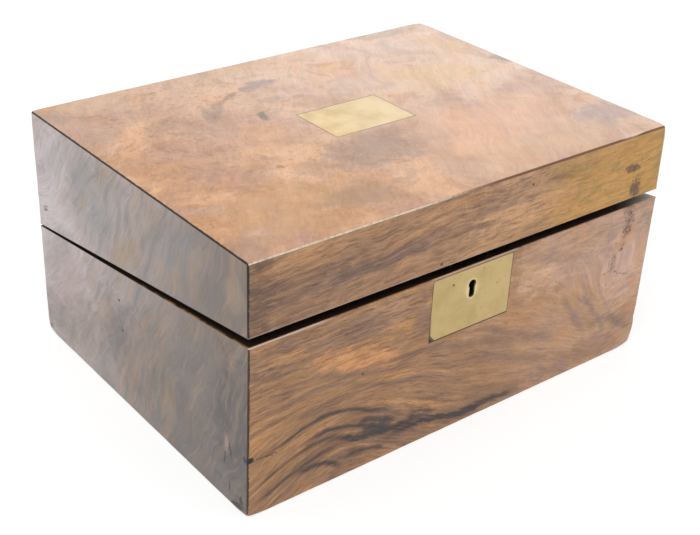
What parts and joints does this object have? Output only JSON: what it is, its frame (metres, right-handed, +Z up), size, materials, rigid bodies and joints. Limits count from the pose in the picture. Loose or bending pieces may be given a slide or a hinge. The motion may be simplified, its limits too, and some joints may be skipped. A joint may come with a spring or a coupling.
{
  "type": "writing slope",
  "caption": "Veneered wooden writing box cut on the slope: the hinged lid swings flat to make a desk, with flaps over paper wells, a pen tray and inkwells.",
  "frame": {"origin": "on the table, under the middle of the box", "axes": "+Z up; -Y is the front, with the lock; +Y is the back, with the hinges; +X is the box's right as seen from the front"},
  "size_m": [0.305, 0.2311, 0.1556],
  "materials": {
    "walnut_veneer": "French polished, worn",
    "carcass_wood": "planed, bare",
    "mahogany": "polished",
    "brass": "dull, lightly tarnished",
    "steel": "dark",
    "writing_leather": "smooth, gilt line",
    "ink_glass": "clear, faintly green"
  },
  "bodies": {
    "case": {"case_front_board": "carcass_wood", "case_back_board": "carcass_wood", "case_left_board": "carcass_wood", "case_right_board": "carcass_wood", "case_bottom_board": "carcass_wood", "case_front_veneer": "walnut_veneer", "case_back_veneer": "walnut_veneer", "case_left_veneer": "walnut_veneer", "case_right_veneer": "walnut_veneer", "escutcheon_plate": "brass", "escutcheon_pins": "brass", "lock_case": "brass", "lock_cap": "brass", "lock_spring": "steel", "lock_screws": "brass", "main_hinge_case_leaves": "brass", "main_hinge_pins": "steel", "main_hinge_case_screws": "brass", "case_hinge_rail": "mahogany", "case_flap_ledges": "mahogany", "case_rail_leaves": "brass", "case_flap_pins": "steel", "ink_divider": "mahogany", "ink_partitions": "mahogany", "ink_shelf": "mahogany", "pen_tray": "mahogany", "left_inkwell_bottle": "ink_glass", "right_inkwell_bottle": "ink_glass", "left_inkwell_cap": "brass", "right_inkwell_cap": "brass"},
    "bolt": {"lock_bolt": "brass"},
    "case_flap": {"case_flap_board": "mahogany", "case_flap_leather": "writing_leather", "case_flap_leaves": "brass"},
    "lid": {"lid_front_board": "carcass_wood", "lid_back_board": "carcass_wood", "lid_left_board": "carcass_wood", "lid_right_board": "carcass_wood", "lid_top_board": "carcass_wood", "lid_front_veneer": "walnut_veneer", "lid_back_veneer": "walnut_veneer", "lid_left_veneer": "walnut_veneer", "lid_right_veneer": "walnut_veneer", "lid_top_veneer": "walnut_veneer", "name_plate": "brass", "link_plate": "brass", "link_plate_screws": "brass", "main_hinge_lid_leaves": "brass", "main_hinge_lid_screws": "brass", "lid_hinge_rail": "mahogany", "lid_flap_ledges": "mahogany", "lid_rail_leaves": "brass", "lid_flap_pins": "steel"},
    "lid_flap": {"lid_flap_board": "mahogany", "lid_flap_leather": "writing_leather", "lid_flap_leaves": "brass"}
  },
  "joints": [
    {"name": "lid_hinge", "type": "hinge", "parent": "case", "child": "lid", "pos_m": [0, 0.1146, 0.07575], "axis": [-1, 0, 0], "range_deg": [-1.03, 178.97]},
    {"name": "lock_bolt_slide", "type": "slide", "parent": "case", "child": "bolt", "axis": [1, 0, 0], "range_m": [0, 0.005]},
    {"name": "case_flap_hinge", "type": "hinge", "parent": "case", "child": "case_flap", "pos_m": [0, 0.09089, 0.07744], "axis": [-1, 0, 0], "range_deg": [-0.35, 60]},
    {"name": "lid_flap_hinge", "type": "hinge", "parent": "lid", "child": "lid_flap", "pos_m": [0, 0.09147, 0.08122], "axis": [1, 0, 0], "range_deg": [-0.35, 60]}
  ],
  "couplings": [
    {"joint": "case_flap_hinge", "follows": "lid_hinge", "ratio": 0.33333},
    {"joint": "lid_flap_hinge", "follows": "lid_hinge", "ratio": 0.33333}
  ]
}
